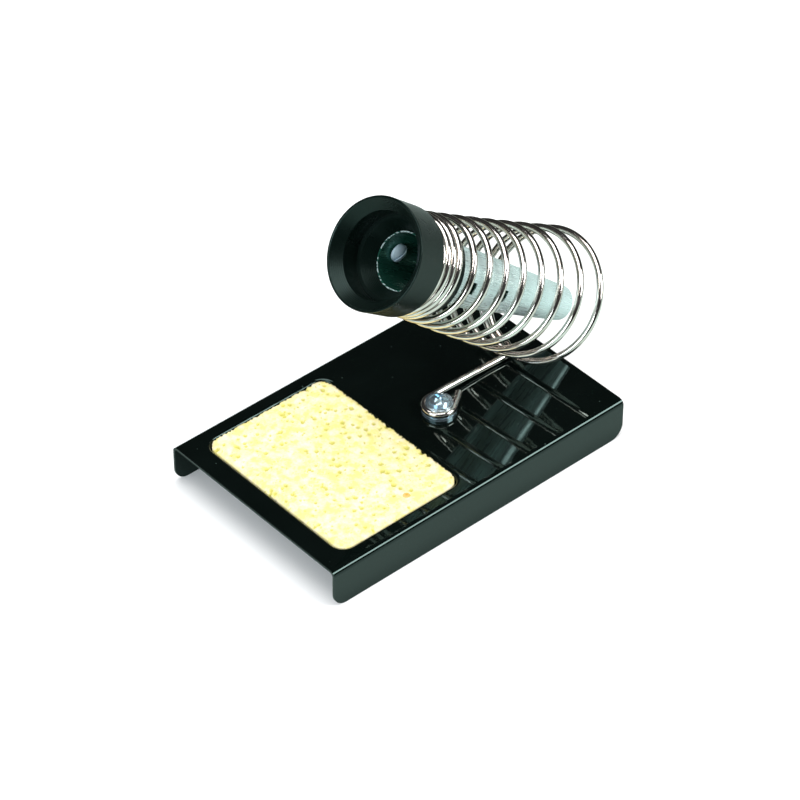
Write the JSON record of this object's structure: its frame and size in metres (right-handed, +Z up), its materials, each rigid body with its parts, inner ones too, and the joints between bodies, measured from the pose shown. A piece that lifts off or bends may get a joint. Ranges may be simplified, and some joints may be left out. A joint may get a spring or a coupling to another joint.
{
  "type": "soldering iron stand",
  "caption": "Soldering iron stand: a folded sheet base with a sponge tray, and a coiled wire holder with a funnel and guard tube that turns on its clamp screw.",
  "frame": {"origin": "on the floor under the middle of the whole stand", "axes": "+X along the base away from the sponge, +Y across it, +Z up; the iron goes in from the -X end, pointing down"},
  "size_m": [0.1699, 0.096, 0.1253],
  "materials": {
    "enamel": "gloss black enamel",
    "sponge": "pale yellow cellulose sponge",
    "spring_wire": "bright nickel plate",
    "funnel_plastic": "satin black moulding",
    "guard_sheet": "bright plated sheet",
    "zinc": "blue-white zinc plate"
  },
  "bodies": {
    "base": {"base_plate": "enamel", "base_screw": "zinc", "eye_washer": "zinc", "top_washer": "zinc", "lock_washer": "zinc", "base_nut": "zinc"},
    "holder": {"holder_spring": "spring_wire", "funnel": "funnel_plastic", "guard_tube": "guard_sheet", "guard_screw": "zinc"},
    "sponge": {"sponge": "sponge"}
  },
  "joints": [
    {"name": "holder_swivel", "type": "hinge", "parent": "base", "child": "holder", "pos_m": [0.00655, -0.0044, 0.02065], "axis": [0, 0, 1], "range_deg": [-50, 50]},
    {"name": "sponge_lift", "type": "slide", "parent": "base", "child": "sponge", "axis": [0, 0, 1], "range_m": [0, 0.03]}
  ]
}
